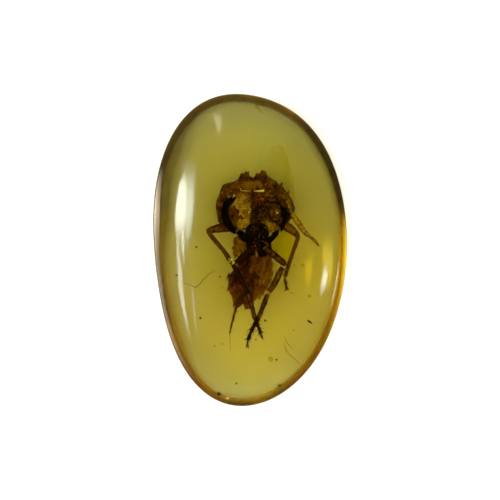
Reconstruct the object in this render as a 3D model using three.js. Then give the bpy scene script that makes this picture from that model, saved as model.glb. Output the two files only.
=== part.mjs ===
// A polished piece of amber: one egg-shaped pebble with a domed face and a shallower,
// rounded underside, ground flat in the middle where it lies.
// Millimetres, +Z up. The origin is on the flat, under the middle of the stone.
// +Y is the broad end, and the insect sealed in the stone heads that way.

import * as THREE from "three";

const LENGTH = 30;
const WIDTH = 18.6;
const THICKNESS = 8;

const EDGE_HEIGHT = 3.3; // the widest level of the stone, above the flat
const FLAT_SHARE = 0.5; // the flat's size, as a share of the outline
const DOME_POWER = 2.1; // 2 is a plain ellipse, and more is a fuller shoulder
const UNDERSIDE_POWER = 2.2; // the same for the rounded underside, up to the widest level

const STEPS_ROUND = 96;
const STEPS_DOME = 20;
const STEPS_UNDERSIDE = 12;

// Hand grinding leaves the outline off a true ellipse. Each swell adds a share of the
// half-size, comes a number of times round the stone, and peaks first at an angle.
const SWELLS = [
  { times: 1, share: 0.024, peak: 141 },
  { times: 2, share: 0.01, peak: 129 },
  { times: 3, share: 0.031, peak: 14 },
  { times: 4, share: 0.015, peak: 49 },
];

function swellAt(angle) {
  return SWELLS.reduce((total, swell) => {
    const peak = THREE.MathUtils.degToRad(swell.peak);
    return total + swell.share * Math.cos(swell.times * (angle - peak));
  }, 1);
}

// A quarter of a rounded outline, as [reach, rise] from 0 to 1, at a turn from 0 to 1.
function roundedQuarter(turn, power) {
  const angle = (turn * Math.PI) / 2;
  const reach = Math.max(Math.cos(angle), 0) ** (2 / power);
  const rise = Math.max(Math.sin(angle), 0) ** (2 / power);
  return [reach, rise];
}

// The half section, from the middle of the flat, round the edge, to the top of the dome.
// Across, 1 is the outline.
function sectionPoints() {
  const points = [new THREE.Vector2(0, 0)];
  for (let step = STEPS_UNDERSIDE; step >= 0; step -= 1) {
    const [reach, drop] = roundedQuarter(step / STEPS_UNDERSIDE, UNDERSIDE_POWER);
    points.push(
      new THREE.Vector2(
        FLAT_SHARE + (1 - FLAT_SHARE) * reach,
        EDGE_HEIGHT * (1 - drop),
      ),
    );
  }
  for (let step = 1; step <= STEPS_DOME; step += 1) {
    const [reach, rise] = roundedQuarter(step / STEPS_DOME, DOME_POWER);
    const height = EDGE_HEIGHT + (THICKNESS - EDGE_HEIGHT) * rise;
    points.push(new THREE.Vector2(step === STEPS_DOME ? 0 : reach, height));
  }
  return points;
}

// A turned blank of radius 1, whose every level is then drawn out to the egg outline.
function amberGeometry() {
  const geometry = new THREE.LatheGeometry(sectionPoints(), STEPS_ROUND);
  geometry.rotateX(Math.PI / 2);
  const place = geometry.attributes.position;
  for (let i = 0; i < place.count; i += 1) {
    const swell = swellAt(Math.atan2(place.getY(i), place.getX(i)));
    place.setX(i, place.getX(i) * swell);
    place.setY(i, place.getY(i) * swell);
  }
  geometry.computeBoundingBox();
  const size = geometry.boundingBox.getSize(new THREE.Vector3());
  const middle = geometry.boundingBox.getCenter(new THREE.Vector3());
  geometry.translate(-middle.x, -middle.y, 0);
  geometry.scale(WIDTH / size.x, LENGTH / size.y, 1);
  geometry.computeVertexNormals();
  return geometry;
}

function amber() {
  const material = new THREE.MeshStandardMaterial({
    color: 0xa39748,
    roughness: 0.05,
    metalness: 0,
    transparent: true,
    opacity: 0.5,
  });
  const mesh = new THREE.Mesh(amberGeometry(), material);
  mesh.name = "amber";
  return mesh;
}

const stone = new THREE.Group();
stone.add(amber());

export default stone;
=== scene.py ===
"""A fossil insect sealed in a polished pebble of olive-golden amber, seen from above.

Shapes are worked out in millimetres about the middle of the stone's flat, with +Z up through
the dome and +Y the way the insect's head points, and become metres as each piece is kept.
The insect and the flecks round it are laid out where they show through the dome, and every
point is then moved down its bent line of sight to where it really lies in the amber.
"""

import math
import random

import bmesh
import bpy
from mathutils import Matrix, Vector, noise


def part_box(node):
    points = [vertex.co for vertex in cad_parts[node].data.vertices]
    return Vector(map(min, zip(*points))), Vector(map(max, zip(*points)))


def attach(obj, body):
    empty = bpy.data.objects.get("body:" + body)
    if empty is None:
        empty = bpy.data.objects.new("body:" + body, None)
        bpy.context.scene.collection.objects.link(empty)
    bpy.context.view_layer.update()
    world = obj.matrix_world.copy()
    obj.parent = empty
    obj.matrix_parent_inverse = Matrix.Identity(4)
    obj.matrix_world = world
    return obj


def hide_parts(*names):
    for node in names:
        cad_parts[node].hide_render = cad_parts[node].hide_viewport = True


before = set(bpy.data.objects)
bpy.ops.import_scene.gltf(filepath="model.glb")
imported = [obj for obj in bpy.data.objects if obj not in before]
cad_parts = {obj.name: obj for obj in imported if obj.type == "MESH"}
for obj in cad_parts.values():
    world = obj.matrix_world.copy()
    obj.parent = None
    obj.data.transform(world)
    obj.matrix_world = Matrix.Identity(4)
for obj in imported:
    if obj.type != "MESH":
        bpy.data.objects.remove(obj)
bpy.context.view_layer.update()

MM = 0.001

# ---------------------------------------------------------------- the stone's dimensions

STONE_LOW, STONE_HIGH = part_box("amber")
WIDTH, LENGTH, THICKNESS = [side / MM for side in STONE_HIGH - STONE_LOW]

EDGE_HEIGHT = 3.3  # the widest level of the stone, above the flat
FLAT_SHARE = 0.5  # the flat's size, as a share of the outline
DOME_POWER = 2.1  # 2 is a plain ellipse, and more is a fuller shoulder
UNDERSIDE_POWER = 2.2  # the same for the rounded underside
STEPS_ROUND = 360
STEPS_DOME = 72
STEPS_UNDERSIDE = 40
INSIDE = 0.999  # keeps the fine surface within the faceted one's box
REFRACTION = 1.54
POLISHED_ROUGHNESS = 0.11
GROUND_ROUGHNESS = 0.25
GRINDING_FADE = 0.4  # the height over which the ground underside turns to polish
LOSS = (12, 32, 216)  # how fast red, green and blue light fade, per metre of amber

# Along the stone from tail to head, as (Y, value at the left side, value at the right side):
# the tint of the polished resin, partly its own colour and partly painted light and shade that
# lightens the tail end, and the colour and the top of a band painted round its edge, which
# gives painted shade and a painted orange glow in place of the light seen through the rim.
RESIN_AND_PAINTED_LIGHT = (
    (-14, (0.84, 0.88, 1.0), (0.84, 0.86, 0.9)),
    (-10, (0.73, 0.77, 1.0), (0.7, 0.71, 0.72)),
    (-5, (0.67, 0.7, 1.0), (0.7, 0.71, 0.72)),
    (-2, (0.66, 0.71, 1.0), (0.7, 0.7, 0.52)),
    (3, (0.66, 0.72, 1.0), (0.73, 0.76, 0.84)),
    (10, (0.67, 0.73, 1.0), (0.55, 0.59, 0.74)),
    (14, (0.64, 0.69, 0.95), (0.51, 0.55, 0.71)),
)
# Painted shade along the left side and over the head end, a painted orange glow down the lower
# right, and paler patches at both ends.
EDGE_PAINTED_LIGHT = (
    (-15, (0.5, 0.5, 0.35), (0.9, 0.8, 0.4)),
    (-13, (0.12, 0.05, 0.01), (1.0, 0.64, 0.05)),
    (-9, (0.32, 0.19, 0.05), (1.0, 0.64, 0.04)),
    (-3, (0.42, 0.24, 0.08), (1.0, 0.64, 0.02)),
    (1, (0.2, 0.13, 0.06), (1.0, 0.62, 0.02)),
    (4.5, (0.13, 0.09, 0.05), (0.16, 0.12, 0.02)),
    (9, (0.14, 0.1, 0.06), (0.08, 0.06, 0.01)),
    (12, (0.14, 0.11, 0.11), (0.07, 0.06, 0.03)),
    (14.5, (0.12, 0.11, 0.16), (1.0, 1.0, 0.9)),
)
# How high the band of painted shade and glow reaches, at the left and at the right.
EDGE_PAINT_TOP = (
    (-15, 4.3, 4.6), (-13, 5.2, 5.0), (-9, 6.2, 5.5), (-3, 6.0, 5.8), (0, 6.2, 5.6),
    (3, 6.7, 5.6), (9.5, 6.5, 5.55), (14, 5.7, 4.6),
)
EDGE_PAINT_FADE = 0.7  # how far below its top the painted edge band starts to fade
EDGE_PAINT_FOOT = (1.0, 2.4)  # the painted edge band fades out downwards between these heights

# Hand grinding leaves the outline off a true ellipse: (share of the half-size,
# times round the stone, angle of the first peak in degrees).
SWELLS = ((0.024, 1, 141), (0.01, 2, 129), (0.031, 3, 14), (0.015, 4, 49))

# ------------------------------------------------------------------------------- helpers


def swell_at(angle):
    """How far the outline stands off the ellipse at an angle round the stone."""
    return 1 + sum(
        share * math.cos(times * (angle - math.radians(peak)))
        for share, times, peak in SWELLS
    )


def outline_box():
    """The middle and the half-size of the outline, before it is scaled to the stone."""
    angles = [math.tau * step / STEPS_ROUND for step in range(STEPS_ROUND)]
    across = [math.cos(a) * swell_at(a) for a in angles]
    along = [math.sin(a) * swell_at(a) for a in angles]
    middle = ((min(across) + max(across)) / 2, (min(along) + max(along)) / 2)
    half = ((max(across) - min(across)) / 2, (max(along) - min(along)) / 2)
    return middle, half


MIDDLE, HALF = outline_box()
STRETCH = (WIDTH / 2 / HALF[0], LENGTH / 2 / HALF[1])


def drawn_out(x, y):
    """A point of a unit disc, moved to its place within the egg outline."""
    swell = swell_at(math.atan2(y, x))
    return (x * swell - MIDDLE[0]) * STRETCH[0], (y * swell - MIDDLE[1]) * STRETCH[1]


def rounded_quarter(turn, power):
    """A quarter of a rounded outline, as (reach, rise) from 0 to 1."""
    angle = turn * math.pi / 2
    reach = max(math.cos(angle), 0) ** (2 / power)
    rise = max(math.sin(angle), 0) ** (2 / power)
    return reach, rise


def dome_height(x, y):
    """How high the polished dome stands over a point, in millimetres."""
    across, along = x / STRETCH[0] + MIDDLE[0], y / STRETCH[1] + MIDDLE[1]
    share = math.hypot(across, along) / swell_at(math.atan2(along, across))
    rise = max(1 - share**DOME_POWER, 0) ** (1 / DOME_POWER)
    return EDGE_HEIGHT + (THICKNESS - EDGE_HEIGHT) * rise


SLOPE_STEP = 0.01  # how far apart two heights are taken to find a slope


def dome_facing(x, y):
    """The height of the dome over a point and the way its polish faces there."""
    height = dome_height(x, y)
    slope_x = (dome_height(x + SLOPE_STEP, y) - height) / SLOPE_STEP
    slope_y = (dome_height(x, y + SLOPE_STEP) - height) / SLOPE_STEP
    return height, Vector((-slope_x, -slope_y, 1)).normalized()


def under_dome(seen):
    """Where a point really lies that is seen at (x, y) from above, at its own depth."""
    x, y, depth = seen
    height, normal = dome_facing(x, y)
    bend = 1 / REFRACTION
    facing = normal.z
    sight = Vector((0, 0, -bend)) + normal * (
        bend * facing - math.sqrt(1 - bend**2 * (1 - facing**2))
    )
    travel = (height - depth) / -sight.z
    return Vector((x, y, height)) + sight * travel


def link(name, mesh):
    """A new object in the scene, left at the origin."""
    piece = bpy.data.objects.new(name, mesh)
    bpy.context.scene.collection.objects.link(piece)
    return piece


def mesh_from(bm, name, material):
    """A smooth mesh in metres, from one worked out in millimetres."""
    bmesh.ops.scale(bm, verts=bm.verts, vec=(MM, MM, MM))
    mesh = bpy.data.meshes.new(name)
    bm.to_mesh(mesh)
    bm.free()
    mesh.shade_smooth()
    mesh.materials.append(material)
    return mesh


def keep(bm, name, material):
    """A finished piece, riding on the stone."""
    piece = link(name, mesh_from(bm, name, material))
    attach(piece, "root")
    return piece


def seal(bm, name, material):
    """A finished piece that was laid out as it shows through the dome."""
    for v in bm.verts:
        v.co = under_dome(v.co)
    bmesh.ops.recalc_face_normals(bm, faces=bm.faces)
    return keep(bm, name, material)


# ----------------------------------------------------------------------- material makers

CRINKLE_HEIGHT = 0.04
FINE_BLOTCHES = 3  # fine blotches to each coarse one
CRAZED_CELLS = 2.2  # the same for the cells of the crazed net
VEIN_WIDTH = 0.07  # as a share of a cell


def principled(name):
    """A new material, with its node tree and its shader."""
    material = bpy.data.materials.new(name)
    material.use_nodes = True
    return material, material.node_tree, material.node_tree.nodes["Principled BSDF"]


def feed(tree, node, inputs):
    """Sets a node's inputs, each to a plain value or to a link from another node."""
    for name, value in inputs.items():
        if isinstance(value, bpy.types.NodeSocket):
            tree.links.new(value, node.inputs[name])
        else:
            node.inputs[name].default_value = value
    return node


def new_node(tree, kind, inputs):
    """A new shader node with its inputs set."""
    return feed(tree, tree.nodes.new("ShaderNode" + kind), inputs)


def object_place(tree, stretch=(1, 1, 1)):
    """The place on a piece in millimetres, squeezed or drawn out by stretch."""
    place = new_node(tree, "TexCoord", {}).outputs["Object"]
    scale = [side / MM for side in stretch]
    return new_node(tree, "Mapping", {"Vector": place, "Scale": scale}).outputs["Vector"]


def object_axes(tree):
    """The place on a piece in millimetres, as separate X, Y and Z."""
    return new_node(tree, "SeparateXYZ", {"Vector": object_place(tree)}).outputs


def grain(tree, scale, stretch=(1, 1, 1), wander=0.0):
    """Cloudy noise with about one blotch in every 1/scale millimetres."""
    return new_node(tree, "TexNoise", {
        "Vector": object_place(tree, stretch), "Scale": scale, "Detail": 4, "Roughness": 0.6,
        "Distortion": wander,
    }).outputs["Fac"]


def cells(tree, scale):
    """How far a point is from the nearest wall of a crazed pattern."""
    texture = new_node(tree, "TexVoronoi", {"Vector": object_place(tree), "Scale": scale})
    texture.feature = "DISTANCE_TO_EDGE"
    return texture.outputs["Distance"]


def attribute(tree, name):
    """The values that a piece's own points hold under a name."""
    node = new_node(tree, "Attribute", {})
    node.attribute_name = name
    return node.outputs["Fac"]


def sums(tree, operation, first, second):
    """Two values combined by a sum. Either may be a plain number."""
    node = new_node(tree, "Math", {0: first, 1: second})
    node.operation = operation
    return node.outputs[0]


def mixed(tree, share, first, second):
    """A colour between two colours."""
    node = tree.nodes.new("ShaderNodeMix")
    node.data_type = "RGBA"
    feed(tree, node, {"Factor": share, 6: first, 7: second})
    return node.outputs[2]


def ramp(tree, value, stops):
    """Colours along a value, as (position, colour) pairs."""
    node = new_node(tree, "ValToRGB", {"Fac": value})
    while len(node.color_ramp.elements) < len(stops):
        node.color_ramp.elements.new(0.5)
    for element, (position, color) in zip(node.color_ramp.elements, stops):
        element.position = position
        element.color = (*color, 1)
    return node.outputs["Color"]


def map_range(tree, value, old, new):
    """A value moved from one range to another, and held at its ends."""
    return new_node(tree, "MapRange", {
        "Value": value, "From Min": old[0], "From Max": old[1], "To Min": new[0],
        "To Max": new[1],
    }).outputs["Result"]


def cuticle(name, stops, scale=1.6, stretch=(1, 1, 1), veins=0.0, gloss=0.05):
    """Fossil skin: coarse and fine blotches along a colour ramp, and a crinkled surface.

    Veins lighten (or, below nought, darken) a crazed net of lines. The piece's own
    "shade" values make it lighter or darker from place to place: its own tone, and painted
    shade on flanks, rims and hollows. The amber wets the skin, so it has hardly any gloss of
    its own.
    """
    material, tree, shader = principled(name)
    coarse = grain(tree, scale, stretch, wander=0.6)
    fine = grain(tree, FINE_BLOTCHES * scale, stretch, wander=1.2)
    value = sums(tree, "MULTIPLY", sums(tree, "ADD", coarse, fine), 0.5)
    if veins:
        wall = map_range(tree, cells(tree, CRAZED_CELLS * scale), (0, VEIN_WIDTH), (veins, 0))
        value = sums(tree, "ADD", value, wall)
    value = sums(tree, "ADD", value, attribute(tree, "shade"))
    crinkle = new_node(tree, "Bump", {"Distance": CRINKLE_HEIGHT * MM, "Height": fine})
    feed(tree, shader, {
        "Base Color": ramp(tree, value, stops), "Roughness": 0.5, "IOR": 1 + gloss,
        "Normal": crinkle.outputs["Normal"],
    })
    return material


def film(name, thin, thick, fade):
    """A skin so thin that light goes straight through. It thickens along X over fade."""
    material, tree, shader = principled(name)
    across = map_range(tree, object_axes(tree)["X"], fade, (-0.25, 1))
    cloudy = sums(tree, "ADD", across, sums(tree, "SUBTRACT", grain(tree, 2.5), 0.5))
    feed(tree, shader, {
        "Base Color": ramp(tree, cloudy, ((0, thin), (1, thick))), "Roughness": 0, "IOR": 1,
        "Transmission Weight": 1,
    })
    return material


def painted_glint_film(name, color):
    """Bright colour painted where a crack full of air throws the light back like foil: a painted
    glint.
    """
    material, tree, shader = principled(name)
    feed(tree, shader, {"Base Color": (*color, 1), "Roughness": 0.3})
    return material


def by_rows(tree, axes, rows):
    """A colour that changes along the stone and across it, by (Y, left, right) rows."""
    along = map_range(tree, axes["Y"], (-LENGTH / 2, LENGTH / 2), (0, 1))
    across = map_range(tree, axes["X"], (-WIDTH / 2, WIDTH / 2), (0, 1))
    left = ramp(tree, along, [(0.5 + y / LENGTH, color) for y, color, _ in rows])
    right = ramp(tree, along, [(0.5 + y / LENGTH, color) for y, _, color in rows])
    return mixed(tree, across, left, right)


def edge_paint_share(tree, axes):
    """How much of the surface carries the painted edge band at each height."""
    heights = [
        (y, (left / THICKNESS,) * 3, (right / THICKNESS,) * 3) for y, left, right in EDGE_PAINT_TOP
    ]
    top = sums(tree, "MULTIPLY", by_rows(tree, axes, heights), THICKNESS)
    over_top = sums(tree, "SUBTRACT", axes["Z"], top)
    upper = map_range(tree, over_top, (-EDGE_PAINT_FADE, 0), (1, 0))
    lower = map_range(tree, axes["Z"], EDGE_PAINT_FOOT, (0, 1))
    return sums(tree, "MULTIPLY", upper, lower)


def amber_resin():
    """See-through resin: polished above, ground below, with a band of painted shade and glow at
    the edge.
    """
    material, tree, shader = principled("amber_resin")
    axes = object_axes(tree)
    # The base colour mixes the resin's tint, itself partly painted light, with the band of
    # painted shade and glow at the edge.
    feed(tree, shader, {
        "Base Color": mixed(tree, edge_paint_share(tree, axes), by_rows(tree, axes, RESIN_AND_PAINTED_LIGHT),
                            by_rows(tree, axes, EDGE_PAINTED_LIGHT)),
        "Roughness": map_range(tree, axes["Z"], (EDGE_HEIGHT - GRINDING_FADE, EDGE_HEIGHT),
                               (GROUND_ROUGHNESS, POLISHED_ROUGHNESS)),
        "IOR": REFRACTION,
        "Transmission Weight": 1,
    })
    depth = new_node(tree, "VolumeAbsorption", {
        "Color": [1 - loss / max(LOSS) for loss in LOSS] + [1], "Density": max(LOSS),
    })
    feed(tree, tree.nodes["Material Output"], {"Volume": depth.outputs["Volume"]})
    return material


# ----------------------------------------------------------------------- shapes to build


def reach_of(outline, middle):
    """A function from an angle to how far an outline lies from its middle."""
    spokes = sorted(
        (math.atan2(y - middle[1], x - middle[0]), math.hypot(x - middle[0], y - middle[1]))
        for x, y in outline
    )
    spokes = [(spokes[-1][0] - math.tau, spokes[-1][1])] + spokes
    spokes.append((spokes[1][0] + math.tau, spokes[1][1]))

    def reach(angle):
        for (a, near), (b, far) in zip(spokes, spokes[1:]):
            if a <= angle <= b:
                lean = near * math.sin(angle - a) + far * math.sin(b - angle)
                return near * far * math.sin(b - a) / max(lean, 1e-6)
        return spokes[0][1]

    return reach


HOLLOW_PAINTED_SHADE = 0.05  # painted shade: how much lighter a lump's high spots are than its hollows
RIPPLE_SHARE = 0.4  # the height of a lump's fine ripple, as a share of its coarse crumple


def shade_layer(bm):
    """How much lighter or darker than its material each point is: its tone, and painted shade."""
    return bm.verts.layers.float.get("shade") or bm.verts.layers.float.new("shade")


def lump(bm, outline, low, high, middle=None, round_steps=64, rise_steps=16, crumple=0.0,
         crumple_size=0.5, rim_shade=-0.06, tone=0.0):
    """A closed lump with a drawn outline, between two depths.

    Its steep rim, which faces sideways, gets painted shade (a value above nought lightens it
    instead), its hollows get painted shade, and tone makes the whole lump lighter or darker.
    """
    if middle is None:
        middle = [sum(point[i] for point in outline) / len(outline) for i in (0, 1)]
    shade = shade_layer(bm)
    reach = reach_of(outline, middle)
    ball = bmesh.ops.create_uvsphere(
        bm, u_segments=round_steps, v_segments=rise_steps, radius=1
    )["verts"]
    for v in ball:
        out = math.hypot(v.co.x, v.co.y)
        angle = math.atan2(v.co.y, v.co.x)
        far = reach(angle) * out
        wave = noise.noise(Vector((v.co.x, v.co.y, v.co.z + 7)) / crumple_size)
        ripple = noise.noise(Vector((v.co.x, v.co.y, v.co.z + 3)) * 3 / crumple_size)
        # Painted shade on the sideways-facing rim and in the hollows of the crumple, on top of
        # the tone.
        v[shade] = tone + rim_shade * out**5 + HOLLOW_PAINTED_SHADE * wave
        v.co = Vector((
            middle[0] + far * math.cos(angle),
            middle[1] + far * math.sin(angle),
            (low + high) / 2 + v.co.z * (high - low) / 2
            + (wave + RIPPLE_SHARE * ripple) * crumple,
        ))


def sealed_lump(name, material, outline, low, high, slot="cuticle", **look):
    """A sealed piece that is one lump."""
    bm = bmesh.new()
    lump(bm, outline, low, high, **look)
    seal(bm, name, material)


def smooth_stations(stations, steps):
    """More stations on a smooth curve through the given ones."""
    padded = [stations[0]] + list(stations) + [stations[-1]]
    made = []
    for before, start, end, after in zip(padded, padded[1:], padded[2:], padded[3:]):
        for step in range(steps):
            t = step / steps
            made.append([
                0.5 * (2 * b + (c - a) * t + (2 * a - 5 * b + 4 * c - d) * t**2
                       + (3 * b - a - 3 * c + d) * t**3)
                for a, b, c, d in zip(before, start, end, after)
            ])
    made.append(list(stations[-1]))
    return made


def limb(bm, stations, sides=12, steps=6, rings_per_mm=0.0, ring_depth=0.0, side_shade=0.09,
         tone=0.0):
    """A closed tapering tube through stations of (x, y, depth, width).

    Its flanks are painted darker than its top, as painted shade, and its rings are narrower
    and darker between.
    """
    shade = shade_layer(bm)
    path = smooth_stations(stations, steps)
    points = [Vector(station[:3]) for station in path]
    loop = None
    before = None
    travelled = 0
    for i, point in enumerate(points):
        aim = points[min(i + 1, len(points) - 1)] - points[max(i - 1, 0)]
        travelled += (point - points[max(i - 1, 0)]).length
        ring = math.sin(math.tau * rings_per_mm * travelled)
        radius = max(path[i][3], 0.01) / 2 * (1 + ring_depth * ring)
        place = (
            Matrix.Translation(point)
            @ aim.to_track_quat("Z", "Y").to_matrix().to_4x4()
            @ Matrix.Scale(radius, 4)
        )
        if loop is None:
            verts = bmesh.ops.create_circle(
                bm, cap_ends=True, segments=sides, radius=1, matrix=place
            )["verts"]
            loop = list({edge for v in verts for edge in v.link_edges})
        else:
            grown = bmesh.ops.extrude_edge_only(bm, edges=loop)["geom"]
            verts = [part for part in grown if isinstance(part, bmesh.types.BMVert)]
            loop = [
                part for part in grown
                if isinstance(part, bmesh.types.BMEdge)
                and part.verts[0] in verts and part.verts[1] in verts
            ]
            bmesh.ops.transform(bm, verts=verts, matrix=place @ before.inverted())
        for v in verts:
            # Painted shade: lighter along the top, darker down the flanks.
            rise = (v.co.z - point.z) / radius
            v[shade] = tone + side_shade * (rise - 0.6) + 0.6 * ring_depth * ring
        before = place
    bmesh.ops.edgeloop_fill(bm, edges=loop)


def limbs(bm, *paths, **look):
    """Several limbs of the same look."""
    for stations in paths:
        limb(bm, stations, **look)


def lighten_rightwards(bm, per_mm):
    """Makes a piece steadily lighter towards +X and darker towards -X."""
    shade = shade_layer(bm)
    for v in bm.verts:
        v[shade] += per_mm * v.co.x


def bristles(bm, start, end, count, length, draw):
    """Stiff little hairs that lean forward from the middle of a leg out past both sides."""
    start, end = Vector(start), Vector(end)
    ahead = (end - start).normalized()
    for step in range(count):
        root = start.lerp(end, (step + draw.random()) / count)
        turn = math.radians(draw.uniform(35, 70)) * (-1) ** step
        lean = Matrix.Rotation(turn, 3, "Z") @ ahead
        tip = root + lean * length * draw.uniform(0.75, 1)
        limb(bm, ((*root, 0.08), (*tip, 0.03)), sides=4, steps=1, tone=-0.3)


def bead(bm, place, size, squash=1.0, tone=0.0):
    """A small rounded grain."""
    shade = shade_layer(bm)
    matrix = Matrix.Translation(place) @ Matrix.Diagonal((size, size, size * squash, 1))
    grown = bmesh.ops.create_icosphere(bm, subdivisions=2, radius=0.5, matrix=matrix)
    for v in grown["verts"]:
        v[shade] = tone


def leaf(bm, root, turn, length, width, lift, tone, thick=0.04):
    """A thin pointed scale that hangs from its root, a tone lighter or darker."""
    shade = shade_layer(bm)
    blade = bmesh.ops.create_uvsphere(bm, u_segments=8, v_segments=6, radius=0.5)["verts"]
    place = Matrix.Translation(root) @ Matrix.Rotation(turn, 4, "Z")
    for v in blade:
        along = v.co.y + 0.5
        taper = 1 - 0.6 * (1 - along) ** 2
        bulge = lift * math.sin(math.pi * along)
        v[shade] = tone + 0.05 * (0.5 - along)
        v.co = place @ Vector((
            v.co.x * width * taper, (along - 1) * length, v.co.z * thick + bulge,
        ))


# ----------------------------------------------------------------------------- the amber


def stone_section():
    """The half section, from the middle of the flat, round the edge, to the dome's top."""
    points = [(0, 0)]
    for step in range(STEPS_UNDERSIDE, -1, -1):
        reach, drop = rounded_quarter(step / STEPS_UNDERSIDE, UNDERSIDE_POWER)
        points.append((FLAT_SHARE + (1 - FLAT_SHARE) * reach, EDGE_HEIGHT * (1 - drop)))
    for step in range(1, STEPS_DOME + 1):
        reach, rise = rounded_quarter(step / STEPS_DOME, DOME_POWER)
        height = EDGE_HEIGHT + (THICKNESS - EDGE_HEIGHT) * rise
        points.append((0 if step == STEPS_DOME else reach, height))
    return points


def make_stone():
    """The section spun round, then drawn out to the egg outline at every level."""
    bm = bmesh.new()
    line = [bm.verts.new((reach, 0, height)) for reach, height in stone_section()]
    edges = [bm.edges.new(pair) for pair in zip(line, line[1:])]
    bmesh.ops.spin(
        bm, geom=line + edges, cent=(0, 0, 0), axis=(0, 0, 1), angle=math.tau,
        steps=STEPS_ROUND, use_merge=True,
    )
    bmesh.ops.remove_doubles(bm, verts=bm.verts, dist=1e-5)
    for v in bm.verts:
        v.co.x, v.co.y = drawn_out(v.co.x, v.co.y)
    bmesh.ops.scale(bm, verts=bm.verts, vec=(INSIDE, INSIDE, INSIDE))
    bmesh.ops.recalc_face_normals(bm, faces=bm.faces)
    stone = keep(bm, "amber_stone", amber_resin())
    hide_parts("amber")


# ---------------------------------------------------------------------------- the insect

BLACK = (0.0008, 0.0004, 0.0002)
DARK = (0.008, 0.0022, 0.0004)
MAROON = (0.035, 0.006, 0.0006)
UMBER = (0.045, 0.015, 0.0008)
RUST = (0.12, 0.035, 0.001)
BROWN = (0.15, 0.053, 0.002)
COPPER = (0.23, 0.08, 0.003)
OLIVE = (0.16, 0.1, 0.002)
TAN = (0.25, 0.12, 0.003)
GOLD = (0.42, 0.26, 0.008)
STRAW = (0.7, 0.52, 0.06)


def make_shield(shell):
    """The broad front shell, torn at its front end."""
    bm = bmesh.new()
    outline = (
        (4.3, 4.0), (4.1, 4.6), (3.75, 5.3), (3.45, 5.6), (3.2, 6.0), (2.85, 6.2),
        (2.55, 6.55), (2.1, 6.8), (1.7, 7.1), (1.0, 7.2), (0.25, 6.9), (-0.6, 7.05),
        (-1.0, 6.85), (-1.7, 6.5), (-2.35, 6.35), (-2.6, 6.2), (-2.8, 5.8), (-2.95, 5.3),
        (-3.2, 4.8), (-3.3, 4.2), (-3.2, 3.6), (-3.05, 2.7), (-2.6, 2.2), (-1.4, 1.75),
        (-0.4, 1.95), (0.9, 2.0), (1.8, 2.0), (2.6, 2.0), (3.3, 2.2), (3.8, 2.8), (4.2, 3.4),
    )
    lump(bm, outline, 3.0, 5.3, middle=(0.4, 4.3), round_steps=160, rise_steps=48,
         crumple=0.25, crumple_size=0.2, rim_shade=0)
    limbs(
        bm,
        ((-2.65, 6.2, 4.6, 0.1), (-2.5, 5.9, 5.0, 0.25), (-2.75, 5.2, 5.1, 0.2),
         (-2.95, 4.5, 5.0, 0.12)),
        ((1.6, 6.4, 5.1, 0.1), (2.3, 5.8, 5.3, 0.3), (3.0, 5.3, 5.1, 0.25),
         (3.6, 4.7, 4.9, 0.15)),
    )
    limb(bm, ((3.3, 5.5, 4.8, 0.1), (3.75, 4.7, 4.9, 0.22), (4.0, 3.9, 4.9, 0.25),
              (3.95, 3.0, 4.7, 0.1)), tone=0.04)
    seal(bm, "front_shield", shell)

    bm = bmesh.new()
    left = ((-1.3, 6.4), (-1.05, 7.0), (-0.85, 7.4), (-0.6, 7.28), (-0.4, 7.62),
            (-0.28, 7.42), (-0.05, 7.6), (-0.08, 7.2), (0.1, 6.9), (0.15, 6.5))
    right = ((0.35, 6.5), (0.38, 6.95), (0.62, 7.4), (0.8, 7.3), (0.98, 7.45), (1.22, 7.75),
             (1.32, 7.45), (1.5, 7.65), (1.6, 7.2), (2.1, 6.75), (2.0, 6.3))
    lump(bm, left, 4.2, 4.85, middle=(-0.5, 6.7), round_steps=96, crumple=0.12, rim_shade=0.04)
    lump(bm, right, 4.2, 4.9, middle=(1.1, 6.7), round_steps=96, crumple=0.12, rim_shade=0.04)
    limbs(bm, ((2.75, 5.8, 4.6, 0.5), (2.95, 6.1, 4.65, 0.34), (3.08, 6.5, 4.7, 0.05)),
          ((3.4, 5.2, 4.6, 0.5), (3.65, 5.5, 4.65, 0.24), (3.72, 5.78, 4.7, 0.04)))
    seal(bm, "torn_lobes", shell)


def make_front_panel(shell, panel):
    """The smooth panel on the shell, with the seam that splits it."""
    front = ((-0.8, 6.6), (-0.85, 6.1), (-0.5, 5.8), (0.3, 5.72), (1.2, 5.8), (1.35, 6.3),
             (0.9, 6.7), (0.2, 6.75))
    sealed_lump("front_panel", panel, front, 4.6, 5.5, crumple=0.04, rim_shade=-0.1)

    bm = bmesh.new()
    limbs(
        bm,
        ((0.2, 7.1, 4.9, 0.03), (0.24, 6.6, 5.3, 0.05), (0.27, 6.0, 5.6, 0.05),
         (0.28, 5.6, 5.7, 0.04)),
        ((-0.1, 6.8, 5.1, 0.02), (-0.02, 6.3, 5.5, 0.04), (0.0, 5.8, 5.6, 0.03)),
        sides=6,
    )
    limb(bm, ((0.05, 7.0, 4.9, 0.05), (0.25, 6.85, 5.1, 0.09), (0.4, 6.95, 5.0, 0.05)), sides=8)
    seal(bm, "front_seam", shell)


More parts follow.
